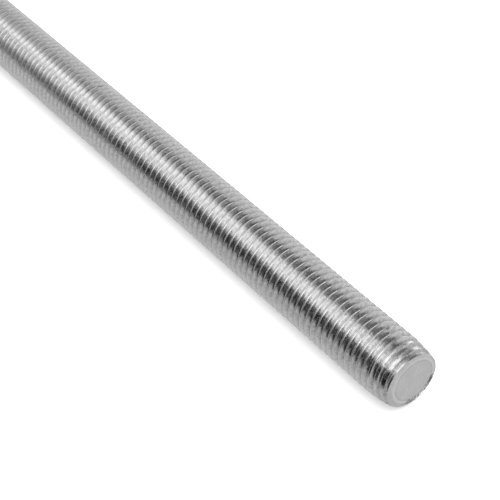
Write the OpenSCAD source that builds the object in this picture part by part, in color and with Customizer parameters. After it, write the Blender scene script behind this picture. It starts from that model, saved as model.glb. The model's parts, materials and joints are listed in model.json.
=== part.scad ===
// Threaded rod: one steel bar, threaded over its whole length and pointed at both ends.
// Millimetres. The axis runs along X and the origin is at the middle of the bar.

/* [Thread] */
// Major diameter, over the crests
major_d = 16; // [8:0.5:36]
// Distance from one crest to the next
pitch = 2; // [1:0.25:4]
// Angle between the two flanks of a groove
flank_angle = 60; // [55:1:60]
// Width of the flat left on each crest
crest_flat = 0.25; // [0.1:0.05:0.4]

/* [Bar] */
// Length from one end face to the other
bar_len = 200; // [60:5:400]

/* [Ends] */
// Length of the slight taper that leads the thread in
lead_len = 4.4; // [2:0.2:10]
// How far that taper comes in from the crests
lead_inset = 0.5; // [0.2:0.1:0.8]
// Length of the steeper nose in front of it
nose_len = 2; // [1:0.2:4]
// How far in from the crests the rim of the end face begins
rim_inset = 1.15; // [0.9:0.05:1.8]
// Width of that rim round the flat face
rim_w = 1.1; // [0.3:0.1:1.6]
// How far the rim falls back from the flat face
rim_fall = 0.2; // [0.1:0.05:0.6]

/* [Hidden] */
$fn = 96;

// ISO metric: a full triangle less an eighth at the crest and a sixth at the root
root_share = 17 / 24;
full_depth = pitch / 2 / tan(flank_angle / 2);
groove_depth = root_share * full_depth;
groove_top = pitch - crest_flat;
root_flat = groove_top - 2 * groove_depth * tan(flank_angle / 2);

major_r = major_d / 2;
lead_r = major_r - lead_inset;
rim_r = major_r - rim_inset;
face_r = rim_r - rim_w;
half_len = bar_len / 2;
nose_at = half_len - rim_fall - nose_len;
// past the crests, so that no skin is left over a groove
overcut = 0.2;
overcut_w = 2 * overcut * tan(flank_angle / 2);
grooves = ceil(bar_len / pitch) + 1;

// Half section of the pointed blank: distance from the axis, place along it
module blank_section() {
  polygon([
    [0, -half_len],
    [face_r, -half_len],
    [rim_r, -half_len + rim_fall],
    [lead_r, -nose_at],
    [major_r, -nose_at + lead_len],
    [major_r, nose_at - lead_len],
    [lead_r, nose_at],
    [rim_r, half_len - rim_fall],
    [face_r, half_len],
    [0, half_len]
  ]);
}

// Half section of one groove, opening outwards
module groove_section() {
  polygon([
    [major_r - groove_depth, -root_flat / 2],
    [major_r + overcut, -(groove_top + overcut_w) / 2],
    [major_r + overcut, (groove_top + overcut_w) / 2],
    [major_r - groove_depth, root_flat / 2]
  ]);
}

module rod_section() {
  difference() {
    blank_section();
    for (i = [0:grooves - 1])
      translate([0, (i - (grooves - 1) / 2) * pitch])
        groove_section();
  }
}

module rod() {
  color("silver")
    rotate([0, 90, 0])
      rotate_extrude()
        rod_section();
}

rod();
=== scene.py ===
"""Threaded rod: the rolled thread, its pointed ends and its plated finish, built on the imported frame.

Lengths are in metres. The rod's axis is X, and its sizes come from the frame's record.
"""

import json
import math

import bpy
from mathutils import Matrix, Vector


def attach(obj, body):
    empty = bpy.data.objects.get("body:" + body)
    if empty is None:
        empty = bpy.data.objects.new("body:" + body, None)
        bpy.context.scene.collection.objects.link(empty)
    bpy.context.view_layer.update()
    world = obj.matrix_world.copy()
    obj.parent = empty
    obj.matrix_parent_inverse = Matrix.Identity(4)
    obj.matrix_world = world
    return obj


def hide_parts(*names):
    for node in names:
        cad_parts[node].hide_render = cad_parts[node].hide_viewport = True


bl_info = {
    "name": "Threaded rod",
    "version": (1, 0, 0),
    "blender": (4, 5, 0),
    "location": "View3D > Sidebar > Threaded Rod",
    "description": "Builds a threaded rod with its thread, points, cut ends and plating",
    "category": "Add Mesh",
}

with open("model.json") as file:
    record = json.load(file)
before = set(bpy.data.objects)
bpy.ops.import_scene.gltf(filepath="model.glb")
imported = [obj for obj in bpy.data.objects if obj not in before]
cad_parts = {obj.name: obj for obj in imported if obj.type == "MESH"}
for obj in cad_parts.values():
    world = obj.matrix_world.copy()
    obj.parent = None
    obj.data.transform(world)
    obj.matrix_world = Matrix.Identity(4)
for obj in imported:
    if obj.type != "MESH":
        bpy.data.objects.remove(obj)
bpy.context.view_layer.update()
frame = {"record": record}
MM = 0.001
NODE = "rod"
MOUNTS = {mount["name"]: mount for mount in frame["record"]["mounts"]}
MAJOR_RADIUS = MOUNTS["thread"]["dims"]["r_mm"] * MM
HALF_LENGTH = MOUNTS["near_end_face"]["pos_m"][0]

# Turns swept beyond the rod's length, half at each end, and the pitches kept past each end
SPARE_TURNS = 4
SWEEP_PAST = 0.6
# Distances within which points are merged and a cut snaps to them
MERGE_DISTANCE = 0.002 * MM
CUT_DISTANCE = 0.001 * MM
# How far the blank stands clear of the crests
BLANK_CLEARANCE = 0.05 * MM
SMOOTH_ANGLE = math.radians(38)

# Depth of the ground rim behind the face, and the shares of the grind's lean
RIM_DEPTH = 0.05 * MM
SHOULDER_LEAN = 0.1
FACE_LEAN = 0.76
# Radians that the far end's lean is turned from the near end's
FAR_LEAN_TURN = 2.4
# How far behind the face the sawn finish reaches
SAWN_DEPTH = 0.25 * MM

# Where bruises start and are full, back from the end faces
BRUISE_START = 9 * MM
BRUISE_FULL = 2 * MM
# Lines of the rolling streaks per metre, and their changes round the rod
STREAK_LINES = 3800
STREAK_TURNS = 11
# Centre of the saw's arcs, beside and below the rod's axis
BLADE_BESIDE = 26 * MM
BLADE_BELOW = 7 * MM

FLOOR_SIZE = 6
FLOOR_SHADE = 0.9
FLOOR_ROUGHNESS = 0.9
NEAREST_SEEN = 10 * MM
WHITE = (1, 1, 1, 1)

# What the metal reflects: the plain tent's brightness, then the dark cards and soft boxes hung
# in it, each as name, azimuth from +X, elevation, radius, soft edge in degrees, and brightness
TENT_SHADE = 0.5
CARDS = [
    ("bench", 0, -90, 65, 15, 0.47),
    ("foot card", -24, -32, 15, 8, 0.36),
    ("lens card", -27, 1, 16, 9, 0.0),
    ("side card", -94, 4, 35, 12, 0.0),
    ("right card", 23, 23, 13, 9, 0.1),
    ("top card", 62, 60, 26, 11, 0.06),
    ("strip box", -7.5, 24, 9, 7, 0.8),
    ("high box", -3, 35, 6, 8, 1.2),
    ("overhead box", -86, 61, 25, 8, 1.1),
    ("gap card", -26, 44, 12, 6, 0.0),
    ("back card", 112, 58, 20, 10, 0.12),
    ("right box", 76, -5, 14, 9, 0.6),
    ("left box", -132, 34, 12, 8, 1.5),
    ("far card", -163, 54, 12, 8, 0.2),
    ("rear card", 142, -5, 20, 10, 0.05),
    ("rear strip box", 175, 15, 9, 7, 1.2),
    ("rear left box", 110, 18, 8, 7, 1.2),
    ("back box", 150, 43, 12, 8, 1.5),
]

# Stains and nicks in the plating: centre on the rod and reach, both in millimetres, and shade
MARKS = [
    ((-69.4, 3.6, 7.2), (0.5, 3.4, 2.0), 0.35),
    ((-71.0, -1.0, 7.9), (0.8, 1.4, 1.0), 0.5),
    ((-28.4, 1.6, 7.8), (0.35, 1.2, 0.8), 0.3),
    ((89.8, 1.2, 7.9), (0.5, 0.7, 0.6), 0.4),
    ((97.6, -2.8, 7.4), (0.35, 0.5, 0.5), 0.2),
]


class ThreadSizes(bpy.types.PropertyGroup):
    """Sizes of the thread's profile."""

    pitch: bpy.props.FloatProperty(
        name="Pitch", description="Distance from one crest to the next",
        default=2 * MM, unit="LENGTH", precision=5)
    half_angle: bpy.props.FloatProperty(
        name="Half angle", description="Angle between a flank and a plane across the rod",
        default=math.radians(30), subtype="ANGLE")
    crest_flat: bpy.props.FloatProperty(
        name="Crest flat", description="Width of the crest before its corners are rounded",
        default=0.25 * MM, unit="LENGTH", precision=5)
    crest_round: bpy.props.FloatProperty(
        name="Crest round", description="Radius at each corner of the crest",
        default=0.13 * MM, unit="LENGTH", precision=5)
    root_round: bpy.props.FloatProperty(
        name="Root round", description="Radius at the bottom of the groove, as a share of the pitch",
        default=0.1443, min=0.05, max=0.16)
    steps: bpy.props.IntProperty(
        name="Steps", description="Steps in one turn of the thread", default=72, min=12, max=96)
    start: bpy.props.FloatProperty(
        name="Start", description="Place of the crest on top of the rod, back from the near face",
        default=0.26 * MM, unit="LENGTH", precision=5)


class EndSizes(bpy.types.PropertyGroup):
    """Sizes of the points and the cut faces."""

    face_radius: bpy.props.FloatProperty(
        name="Face radius", description="Radius of the flat face at each end",
        default=5.75 * MM, unit="LENGTH", precision=5)
    rim_radius: bpy.props.FloatProperty(
        name="Rim radius", description="Outer radius of the narrow rim round the flat face",
        default=6.4 * MM, unit="LENGTH", precision=5)
    shoulder_radius: bpy.props.FloatProperty(
        name="Shoulder radius", description="Radius where the rim turns into the nose",
        default=7.1 * MM, unit="LENGTH", precision=5)
    shoulder_depth: bpy.props.FloatProperty(
        name="Shoulder depth", description="How far that shoulder lies behind the face",
        default=0.3 * MM, unit="LENGTH", precision=5)
    nose_radius: bpy.props.FloatProperty(
        name="Nose radius", description="Radius where the nose meets the slight taper",
        default=7.5 * MM, unit="LENGTH", precision=5)
    nose_depth: bpy.props.FloatProperty(
        name="Nose depth", description="How far the nose reaches back from the face",
        default=2.2 * MM, unit="LENGTH", precision=5)
    taper_depth: bpy.props.FloatProperty(
        name="Taper depth", description="How far the slight taper reaches back from the face",
        default=6.6 * MM, unit="LENGTH", precision=5)
    lean: bpy.props.FloatProperty(
        name="Lean", description="How far the ground rim lies off the rod's axis",
        default=0.62 * MM, unit="LENGTH", precision=5)
    lean_angle: bpy.props.FloatProperty(
        name="Lean angle", description="Direction of the lean at the near end, up from +Y",
        default=math.radians(35.5), subtype="ANGLE")


class FinishSettings(bpy.types.PropertyGroup):
    """Colours and gloss of the plated steel."""

    plating: bpy.props.FloatProperty(
        name="Plating", description="Brightness of the plating on the thread",
        default=0.95, min=0, max=1, subtype="FACTOR")
    spots: bpy.props.FloatProperty(
        name="Spots", description="How much lighter the fine spots of the plating are",
        default=0.22, min=0, max=1, subtype="FACTOR")
    lines: bpy.props.FloatProperty(
        name="Lines", description="How much lighter the rolling lines are",
        default=0.22, min=0, max=1, subtype="FACTOR")
    # Painted shade: how much the flanks' colour darkens towards the groove
    flank_shade: bpy.props.FloatProperty(
        name="Flank shade", description="How much darker a flank gets towards the groove",
        default=0.27, min=0, max=1, subtype="FACTOR")
    relief: bpy.props.FloatProperty(
        name="Relief", description="Height of the streaks and spots in the plating",
        default=0.038 * MM, unit="LENGTH", precision=6)
    # Grime and painted shade together: the colour of the grooves
    grime_and_groove_shade: bpy.props.FloatProperty(
        name="Grime", description="Brightness of the dull film left in the grooves",
        default=0.7, min=0, max=1, subtype="FACTOR")
    gloss: bpy.props.FloatProperty(
        name="Gloss", description="Roughness of the rolled flanks",
        default=0.11, min=0, max=1, subtype="FACTOR")
    cut_metal: bpy.props.FloatProperty(
        name="Cut metal", description="Brightness of the sawn end",
        default=0.95, min=0, max=1, subtype="FACTOR")
    cut_gloss: bpy.props.FloatProperty(
        name="Cut gloss", description="Roughness of the sawn end",
        default=0.42, min=0, max=1, subtype="FACTOR")
    cut_relief: bpy.props.FloatProperty(
        name="Cut relief", description="Height of the saw's marks on the end",
        default=0.04 * MM, unit="LENGTH", precision=6)
    saw_gap: bpy.props.FloatProperty(
        name="Saw gap", description="Distance between the arcs that the saw left",
        default=1.0 * MM, unit="LENGTH", precision=5)


class StageSettings(bpy.types.PropertyGroup):
    """The camera and the light."""

    azimuth: bpy.props.FloatProperty(
        name="Azimuth", description="Camera's turn about the vertical from looking along +Y",
        default=math.radians(53.05), subtype="ANGLE")
    elevation: bpy.props.FloatProperty(
        name="Elevation", description="Camera's height angle above the floor",
        default=math.radians(40.37), subtype="ANGLE")
    lens: bpy.props.FloatProperty(
        name="Lens", description="Focal length on a 36 mm sensor", default=106.56, unit="CAMERA")
    distance: bpy.props.FloatProperty(
        name="Distance", description="From the camera to the plane through the near face's centre",
        default=324.21 * MM, unit="LENGTH", precision=4)
    aim_left: bpy.props.FloatProperty(
        name="Aim left", description="How far left of the near face the camera aims",
        default=35.56 * MM, unit="LENGTH", precision=5)
    aim_up: bpy.props.FloatProperty(
        name="Aim up", description="How far above the near face the camera aims",
        default=28.94 * MM, unit="LENGTH", precision=5)
    tent: bpy.props.FloatProperty(
        name="Tent", description="Brightness of the white tent on the floor", default=2.3, min=0)
    gleam: bpy.props.FloatProperty(
        name="Gleam", description="Brightness of what the metal reflects", default=1.0, min=0)


# Modelling helpers


def deselect_all():
    """Leave edit mode and clear the selection."""
    if bpy.context.object and bpy.context.object.mode != "OBJECT":
        bpy.ops.object.mode_set(mode="OBJECT")
    bpy.ops.object.select_all(action="DESELECT")


def make_active(piece):
    deselect_all()
    piece.select_set(True)
    bpy.context.view_layer.objects.active = piece


def select_faces(piece, wanted):
    """Enter edit mode with just the faces that pass the test selected."""
    make_active(piece)
    bpy.ops.object.mode_set(mode="EDIT")
    bpy.ops.mesh.select_mode(type="FACE")
    bpy.ops.mesh.select_all(action="DESELECT")
    bpy.ops.object.mode_set(mode="OBJECT")
    for face in piece.data.polygons:
        face.select = wanted(face)
    bpy.ops.object.mode_set(mode="EDIT")


def apply_modifier(piece, kind, **settings):
    """Add a modifier with these settings and apply it."""
    make_active(piece)
    modifier = piece.modifiers.new(kind.title(), kind)
    for name, value in settings.items():
        setattr(modifier, name, value)
    bpy.ops.object.modifier_apply(modifier=modifier.name)


def arc_points(centre, radius, start, end, steps):
    """Points on an arc of the profile, as (place along the rod, distance from its axis)."""
    points = []
    for i in range(steps + 1):
        angle = start + (end - start) * i / steps
        points.append((centre[0] + radius * math.sin(angle), centre[1] + radius * math.cos(angle)))
    return points


def tooth_profile(sizes):
    """One pitch of the thread from groove bottom to groove bottom, as (along, outwards)."""
    half = sizes.pitch / 2
    turn = math.pi / 2 - sizes.half_angle
    slope = math.tan(turn)
    root = sizes.root_round * sizes.pitch
    # the flank's line, taken down to where the root's arc is tangent to it
    root_place = half - root * math.sin(turn)
    root_top = MAJOR_RADIUS - (root_place - sizes.crest_flat / 2) * slope
    root_centre = (half, root_top + root * math.cos(turn))
    inset = sizes.crest_round * math.tan(turn / 2)
    crest_centre = (sizes.crest_flat / 2 - inset, MAJOR_RADIUS - sizes.crest_round)
    right = arc_points(crest_centre, sizes.crest_round, 0, turn, 2)
    right += arc_points(root_centre, root, math.pi + turn, math.pi, 2)
    left = [(-along, out) for along, out in reversed(right)]
    return left + right


# Shading helpers


class Wire:
    """A shader value that Python's arithmetic acts on, adding Math nodes as it goes."""

    def __init__(self, tree, socket=None):
        self.tree = tree
        self.socket = socket

    def node(self, kind, settings=None, inputs=None, output=0):
        """Add a node, its settings first and then the values or links of its sockets."""
        node = self.tree.nodes.new(kind)
        for name, value in (settings or {}).items():
            setattr(node, name, value)
        for name, value in (inputs or {}).items():
            if isinstance(value, Wire):
                self.tree.links.new(value.socket, node.inputs[name])
            else:
                node.inputs[name].default_value = value
        return Wire(self.tree, node.outputs[output] if node.outputs else None)

    def maths(self, operation, first, second=0.0):
        return self.node("ShaderNodeMath", {"operation": operation}, {0: first, 1: second})

    def part(self, axis):
        """One coordinate of this vector."""
        return self.node("ShaderNodeSeparateXYZ", inputs={0: self}, output=axis)

    def __add__(self, other):
        return self.maths("ADD", self, other)

    def __sub__(self, other):
        return self.maths("SUBTRACT", self, other)

    def __rsub__(self, other):
        return self.maths("SUBTRACT", other, self)

    def __mul__(self, other):
        return self.maths("MULTIPLY", self, other)

    def __truediv__(self, other):
        return self.maths("DIVIDE", self, other)

    def __pow__(self, other):
        return self.maths("POWER", self, other)

    __radd__ = __add__
    __rmul__ = __mul__

    def towards(self, other, share):
        """This value moved towards another by a share."""
        return self + (other - self) * share

    def fade(self, start, end):
        """Smoothly 0 to 1 as this value goes from start to end."""
        return self.node(
            "ShaderNodeMapRange", {"interpolation_type": "SMOOTHSTEP"},
            {"Value": self, "From Min": start, "From Max": end})

    def within(self, low, full, last, high):
        """Smoothly up to 1 from low to full, and down to 0 from last to high."""
        return self.fade(low, full) * self.fade(high, last)


# Pieces


class ROD_OT_thread(bpy.types.Operator):
    """Sweep the thread's profile along its helix and cut it to the pointed blank"""

    bl_idname = "rod.thread"
    bl_label = "Thread"

    def execute(self, context):
        sizes = context.scene.rod_thread
        ends = context.scene.rod_ends
        rod = self.sweep(sizes)
        blank = self.blank(ends, sizes.steps)
        apply_modifier(rod, "BOOLEAN", operation="INTERSECT", object=blank, solver="EXACT")
        bpy.data.objects.remove(blank)
        make_active(rod)
        bpy.ops.object.shade_smooth_by_angle(angle=SMOOTH_ANGLE)
        return {"FINISHED"}

    def sweep(self, sizes):
        """The endless thread: one tooth, extruded point by point and screwed along X."""
        deselect_all()
        bpy.ops.mesh.primitive_plane_add(size=MM)
        rod = bpy.context.object
        rod.name = "threaded_rod"
        rod.data.name = "threaded_rod"
        bpy.ops.object.mode_set(mode="EDIT")
        bpy.ops.mesh.select_all(action="SELECT")
        bpy.ops.mesh.merge(type="CENTER")
        profile = tooth_profile(sizes)
        turns = math.ceil(2 * HALF_LENGTH / sizes.pitch) + SPARE_TURNS
        first = HALF_LENGTH - sizes.start - (turns - SPARE_TURNS / 2) * sizes.pitch
        bpy.ops.transform.translate(value=(first + profile[0][0], 0, profile[0][1]))
        for here, there in zip(profile, profile[1:]):
            step = (there[0] - here[0], 0, there[1] - here[1])
            bpy.ops.mesh.extrude_region_move(TRANSFORM_OT_translate={"value": step})
        bpy.ops.object.mode_set(mode="OBJECT")
        apply_modifier(
            rod, "SCREW", axis="X", angle=2 * math.pi, steps=sizes.steps, render_steps=sizes.steps,
            screw_offset=sizes.pitch, iterations=turns, use_smooth_shade=True)
        self.close(rod, sizes)
        return rod

    def close(self, rod, sizes):
        """Join one turn to the next and shut the sweep just past each end."""
        make_active(rod)
        bpy.ops.object.mode_set(mode="EDIT")
        bpy.ops.mesh.select_all(action="SELECT")
        bpy.ops.mesh.remove_doubles(threshold=MERGE_DISTANCE)
        past = HALF_LENGTH + SWEEP_PAST * sizes.pitch
        for side in (-1, 1):
            bpy.ops.mesh.select_all(action="SELECT")
            bpy.ops.mesh.bisect(
                plane_co=(side * past, 0, 0), plane_no=(side, 0, 0), clear_outer=True,
                use_fill=True, threshold=CUT_DISTANCE)
        bpy.ops.mesh.select_all(action="SELECT")
        bpy.ops.mesh.normals_make_consistent(inside=False)
        bpy.ops.object.mode_set(mode="OBJECT")

    def blank(self, ends, steps):
        """The pointed bar that the thread is cut to, each point ground a little off centre."""
        rise = (MAJOR_RADIUS - ends.nose_radius) / (ends.taper_depth - ends.nose_depth)
        straight = HALF_LENGTH - ends.taper_depth - BLANK_CLEARANCE / rise
        radius = MAJOR_RADIUS + BLANK_CLEARANCE
        deselect_all()
        bpy.ops.mesh.primitive_cylinder_add(
            vertices=steps, radius=radius, depth=2 * straight, rotation=(0, math.pi / 2, 0))
        blank = bpy.context.object
        bpy.ops.object.transform_apply(location=False, rotation=True, scale=False)
        # depth behind the face, radius, and share of the lean
        outline = [
            (ends.nose_depth, ends.nose_radius, 0),
            (ends.shoulder_depth, ends.shoulder_radius, SHOULDER_LEAN),
            (RIM_DEPTH, ends.rim_radius, 1),
            (0, ends.face_radius, FACE_LEAN),
        ]
        for side, lean_angle in ((-1, ends.lean_angle + FAR_LEAN_TURN), (1, ends.lean_angle)):
            lean = Vector((0, math.cos(lean_angle), math.sin(lean_angle))) * ends.lean
            place = Vector((side * straight, 0, 0))
            size = radius
            select_faces(blank, lambda face: face.normal.x * side > 0.9)
            for depth, next_size, share in outline:
                next_place = Vector((side * (HALF_LENGTH - depth), 0, 0)) + lean * share
                bpy.ops.mesh.extrude_region_move(
                    TRANSFORM_OT_translate={"value": next_place - place})
                bpy.ops.transform.resize(value=(1, next_size / size, next_size / size))
                place = next_place
                size = next_size
        bpy.ops.object.mode_set(mode="OBJECT")
        return blank


class ROD_OT_finish(bpy.types.Operator):
    """Give the rod its plated finish and tie it to the frame"""

    bl_idname = "rod.finish"
    bl_label = "Plating"

    def execute(self, context):
        rod = bpy.data.objects["threaded_rod"]
        finish = context.scene.rod_finish
        rod.data.materials.append(self.plating(finish))
        rod.data.materials.append(self.cut_face(finish, context.scene.rod_ends))
        select_faces(rod, lambda face: abs(face.center.x) > HALF_LENGTH - SAWN_DEPTH)
        rod.active_material_index = 1
        bpy.ops.object.material_slot_assign()
        bpy.ops.object.mode_set(mode="OBJECT")
        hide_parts(NODE)
        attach(rod, "root")
        return {"FINISHED"}

    def new_material(self, name):
        """An empty metal, its wrapped tree and its shader."""
        material = bpy.data.materials.new(name)
        material.use_nodes = True
        shader = material.node_tree.nodes["Principled BSDF"]
        shader.inputs["Metallic"].default_value = 1
        return material, Wire(material.node_tree), shader

    def connect(self, shader, colour, roughness, height, relief):
        """Feed the shader a grey, a roughness and a bump of so much relief."""
        tree = shader.id_data
        tree.links.new(colour.socket, shader.inputs["Base Color"])
        tree.links.new(roughness.socket, shader.inputs["Roughness"])
        bump = height.node("ShaderNodeBump", inputs={"Height": height, "Distance": relief})
        tree.links.new(bump.socket, shader.inputs["Normal"])

    def grey(self, value):
        """A grey colour from a value."""
        return value.node("ShaderNodeCombineColor", inputs={0: value, 1: value, 2: value})

    def noise(self, vector, scale, detail=2.0, roughness=0.5):
        """Noise over a place, with its scale in cells per metre."""
        return vector.node(
            "ShaderNodeTexNoise", inputs={
                "Vector": vector, "Scale": scale, "Detail": detail, "Roughness": roughness})

    def plating(self, finish):
        """Bright plating: streaks round the thread, a fine mottle, painted shade on the flanks, grime
        and painted shade in the grooves, a painted highlight on the crests.
        """
        material, start, shader = self.new_material("bright plating")
        place = start.node("ShaderNodeTexCoord", output="Object")
        along = place.part("X")
        across = place.part("Y")
        upward = place.part("Z")
        radius = (across * across + upward * upward) ** 0.5
        # fine lines that run round the rod and change quickly across the flank
        lie = start.node("ShaderNodeCombineXYZ", inputs={
            0: (along + radius) * STREAK_LINES,
            1: across / radius * STREAK_TURNS,
            2: upward / radius * STREAK_TURNS})
        streaks = self.noise(lie, scale=1.0, detail=3.0, roughness=0.7)
        mottle = self.noise(place, scale=1500.0, detail=3.0, roughness=0.65)
        patches = self.noise(place, scale=160.0)
        depth = MAJOR_RADIUS - radius
        groove = depth.fade(1.0 * MM, 1.22 * MM)
        # painted shade: the flanks' colour darkens with depth towards the groove
        painted_flank_shade = depth.fade(0.2 * MM, 0.95 * MM)
        # painted highlight: the crests' colour is lifted towards white; they are also made glossier
        crest = depth.fade(0.14 * MM, 0.04 * MM)
        worn = patches.fade(0.35, 0.75)
        lines = streaks.fade(0.3, 0.7)
        bruised = start.maths("ABSOLUTE", along).fade(
            HALF_LENGTH - BRUISE_START, HALF_LENGTH - BRUISE_FULL)
        spots = mottle.fade(0.3, 0.7)
        # grime in the groove, together with painted shade where the root lies in shadow
        groove_grime_and_shade = groove * (0.4 + spots * 0.6)
        # light on spots and lines, painted shade darker down the flanks, grime and painted shade
        # dulling the groove, a painted highlight bright on the crest
        tone = 0.79 + spots * finish.spots + lines * finish.lines - painted_flank_shade * finish.flank_shade
        tone = (finish.plating * tone).towards(finish.grime_and_groove_shade, groove_grime_and_shade)
        tone = tone.towards(1.0, crest * 0.85)
        rough = finish.gloss + spots * 0.08 + streaks * 0.04 - worn * 0.03 + groove * 0.1
        rough = rough.towards(0.08, crest * 0.6)
        for centre, reach, shade in MARKS:
            tone = tone.towards(shade, self.mark(place, centre, reach) * (0.3 + mottle))
        height = (streaks * 0.55 + mottle * 0.6) * (1 + bruised * 0.6)
        self.connect(shader, self.grey(tone), rough, height, finish.relief)
        return material

    def mark(self, place, centre, reach):
        """A soft oval around a point of the surface."""
        offset = place.node("ShaderNodeVectorMath", {"operation": "SUBTRACT"}, {
            0: place, 1: tuple(value * MM for value in centre)})
        scaled = place.node("ShaderNodeVectorMath", {"operation": "DIVIDE"}, {
            0: offset, 1: tuple(value * MM for value in reach)})
        distance = place.node(
            "ShaderNodeVectorMath", {"operation": "LENGTH"}, {0: scaled}, output="Value")
        return distance.fade(1.2, 0.5)

    def cut_face(self, finish, ends):
        """Dull sawn steel: arcs from the blade, a bright ring of painted highlight, a mottled darker
        outer shoulder, a torn edge darkened with painted shade.
        """
        material, start, shader = self.new_material("sawn steel")
        place = start.node("ShaderNodeTexCoord", output="Object")
        along = place.part("X")
        across = place.part("Y")
        upward = place.part("Z")
        wander = self.noise(place, scale=330.0)
        grain = self.noise(place, scale=1700.0, detail=3.0, roughness=0.7)
        ragged = self.noise(place, scale=2000.0, detail=3.0, roughness=0.7)
        # arcs about the blade's centre
        over = across - BLADE_BESIDE
        down = upward + BLADE_BELOW
        blade = (over * over + down * down) ** 0.5
        turn = (blade / finish.saw_gap + wander * 2.2) * (2 * math.pi)
        arcs = (start.maths("SINE", turn) * 0.5 + 0.5) * wander.fade(0.42, 0.6)
        # how far a point lies outside the ground face's own edge, with a ragged line
        shift = FACE_LEAN * ends.lean
        aside = across - shift * math.cos(ends.lean_angle)
        above = upward - shift * math.sin(ends.lean_angle)
        reach = (aside * aside + above * above) ** 0.5
        outside = reach - ends.face_radius + (ragged - 0.5) * (0.5 * MM)
        rim = outside.fade(-0.4 * MM, -0.05 * MM)
        # painted highlight: a bright, glossier ring on the rim beside the face
        ring = rim * outside.fade(0.45 * MM, 0.15 * MM)
        inner = outside.within(-0.7 * MM, -0.5 * MM, -0.35 * MM, -0.2 * MM)
        # a mottled, mostly darker band on the outer shoulder
        mottled_outer_band = outside.fade(0.35 * MM, 0.65 * MM) * (ragged - 0.34)
        # the near end's torn edge darkened with painted shade in its gap, dark bits and a painted
        # glint, by their bearings in degrees up from +Y
        bearing = start.maths("ARCTAN2", upward, across) * (180 / math.pi)
        near = along.fade(0, 1 * MM)
        # painted shade: the torn edge's gap is coloured dark
        torn_edge_shade = bearing.within(-46, -36, -15, -8) * near * ragged.fade(0.45, 0.5)
        torn_edge_shade = torn_edge_shade * outside.within(-0.5 * MM, -0.35 * MM, 0.45 * MM, 0.6 * MM)
        bits = bearing.within(-110, -96, -50, -40) * near * ragged.fade(0.48, 0.53)
        bits = bits * outside.fade(-0.3 * MM, -0.15 * MM)
        glint = bearing.within(-76, -68, -56, -46) * near * ragged.fade(0.54, 0.47)
        glint = glint * outside.fade(0.05 * MM, 0.2 * MM)
        # the rim is mottled and a little lighter overall, partly painted light on its outward tilt
        tone = 0.78 + arcs * 0.08 + grain * 0.16 + rim * (ragged * 0.14 - 0.02)
        tone = finish.cut_metal * (tone + ring * 0.12 - inner * 0.1 - mottled_outer_band * 0.6)
        tone = tone.towards(0.1, torn_edge_shade).towards(0.2, bits).towards(0.6, glint)
        rough = finish.cut_gloss + grain * 0.1 - ring * 0.06
        height = arcs * 0.3 + grain * 0.4 - torn_edge_shade * 2 + glint * 2
        start.tree.links.new((1 - glint).socket, shader.inputs["Metallic"])
        self.connect(shader, self.grey(tone), rough, height, finish.cut_relief)
        return material


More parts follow.
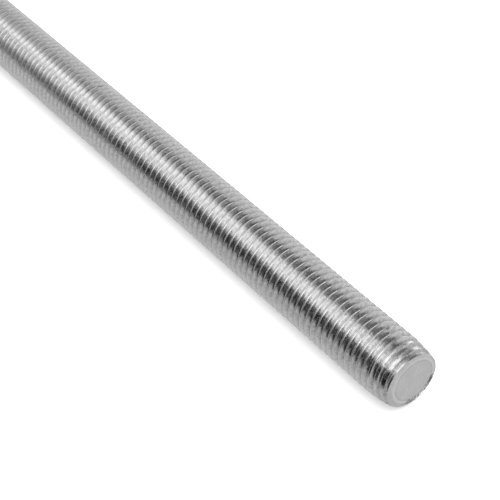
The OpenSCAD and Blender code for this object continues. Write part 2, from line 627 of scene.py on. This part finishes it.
class ROD_OT_stage(bpy.types.Operator):
    """Lay a pale floor and set the soft light and the camera"""

    bl_idname = "rod.stage"
    bl_label = "Stage"

    def execute(self, context):
        self.floor()
        self.light(context)
        self.camera(context)
        return {"FINISHED"}

    def floor(self):
        deselect_all()
        bpy.ops.mesh.primitive_plane_add(size=FLOOR_SIZE, location=(0, 0, -MAJOR_RADIUS))
        floor = bpy.context.object
        floor.name = "floor"
        material = bpy.data.materials.new("pale floor")
        material.use_nodes = True
        shader = material.node_tree.nodes["Principled BSDF"]
        shader.inputs["Base Color"].default_value = (FLOOR_SHADE, FLOOR_SHADE, FLOOR_SHADE, 1)
        shader.inputs["Roughness"].default_value = FLOOR_ROUGHNESS
        floor.data.materials.append(material)
        floor.visible_glossy = False

    def light(self, context):
        """A white tent that lights the floor, with boxes and cards that only metal shows."""
        world = bpy.data.worlds.new("studio tent")
        world.use_nodes = True
        world.node_tree.nodes.clear()
        context.scene.world = world
        context.scene.view_settings.view_transform = "Standard"
        start = Wire(world.node_tree)
        looking = start.node("ShaderNodeTexCoord", output="Generated")
        stage = context.scene.rod_stage
        shade = TENT_SHADE
        for _, azimuth, elevation, reach, edge, brightness in CARDS:
            turn = math.radians(azimuth)
            tilt = math.radians(elevation)
            level = math.cos(tilt)
            centre = (math.cos(turn) * level, math.sin(turn) * level, math.sin(tilt))
            closeness = start.node(
                "ShaderNodeVectorMath", {"operation": "DOT_PRODUCT"},
                {0: looking, 1: centre}, output="Value")
            angle = start.maths("ARCCOSINE", closeness)
            card = angle.fade(math.radians(reach + edge), math.radians(reach - edge))
            shade = shade + (brightness - shade) * card
        plain = start.node("ShaderNodeBackground", inputs={"Color": WHITE, "Strength": stage.tent})
        cards = start.node(
            "ShaderNodeBackground", inputs={"Color": WHITE, "Strength": shade * stage.gleam})
        in_metal = start.node("ShaderNodeLightPath", output="Is Glossy Ray")
        mixed = start.node("ShaderNodeMixShader", inputs={0: in_metal, 1: plain, 2: cards})
        start.node("ShaderNodeOutputWorld", inputs={"Surface": mixed})

    def camera(self, context):
        stage = context.scene.rod_stage
        turn = stage.azimuth
        tilt = stage.elevation
        back = Vector((
            math.sin(turn) * math.cos(tilt), -math.cos(turn) * math.cos(tilt), math.sin(tilt)))
        right = Vector((math.cos(turn), math.sin(turn), 0))
        up = back.cross(right)
        near_face = Vector((HALF_LENGTH, 0, 0))
        place = near_face - right * stage.aim_left + up * stage.aim_up + back * stage.distance
        camera = bpy.data.objects.new("camera", bpy.data.cameras.new("camera"))
        context.scene.collection.objects.link(camera)
        camera.location = place
        camera.rotation_euler = (-back).to_track_quat("-Z", "Y").to_euler()
        camera.data.lens = stage.lens
        camera.data.clip_start = NEAREST_SEEN
        context.scene.camera = camera


class ROD_PT_panel(bpy.types.Panel):
    """Builds the rod step by step."""

    bl_idname = "ROD_PT_panel"
    bl_label = "Threaded Rod"
    bl_space_type = "VIEW_3D"
    bl_region_type = "UI"
    bl_category = "Threaded Rod"

    def draw(self, context):
        for settings, step in STEPS:
            box = self.layout.box()
            group = getattr(context.scene, settings)
            for name in group.__annotations__:
                box.prop(group, name)
            if step:
                box.operator(step)


STEPS = [
    ("rod_thread", None),
    ("rod_ends", "rod.thread"),
    ("rod_finish", "rod.finish"),
    ("rod_stage", "rod.stage"),
]
GROUPS = {
    "rod_thread": ThreadSizes,
    "rod_ends": EndSizes,
    "rod_finish": FinishSettings,
    "rod_stage": StageSettings,
}
CLASSES = [*GROUPS.values(), ROD_OT_thread, ROD_OT_finish, ROD_OT_stage, ROD_PT_panel]


def register():
    for cls in CLASSES:
        bpy.utils.register_class(cls)
    for name, group in GROUPS.items():
        setattr(bpy.types.Scene, name, bpy.props.PointerProperty(type=group))


def unregister():
    for name in GROUPS:
        delattr(bpy.types.Scene, name)
    for cls in reversed(CLASSES):
        bpy.utils.unregister_class(cls)


def main():
    register()
    bpy.ops.rod.thread()
    bpy.ops.rod.finish()
    bpy.ops.rod.stage()


if __name__ == "__main__":
    main()
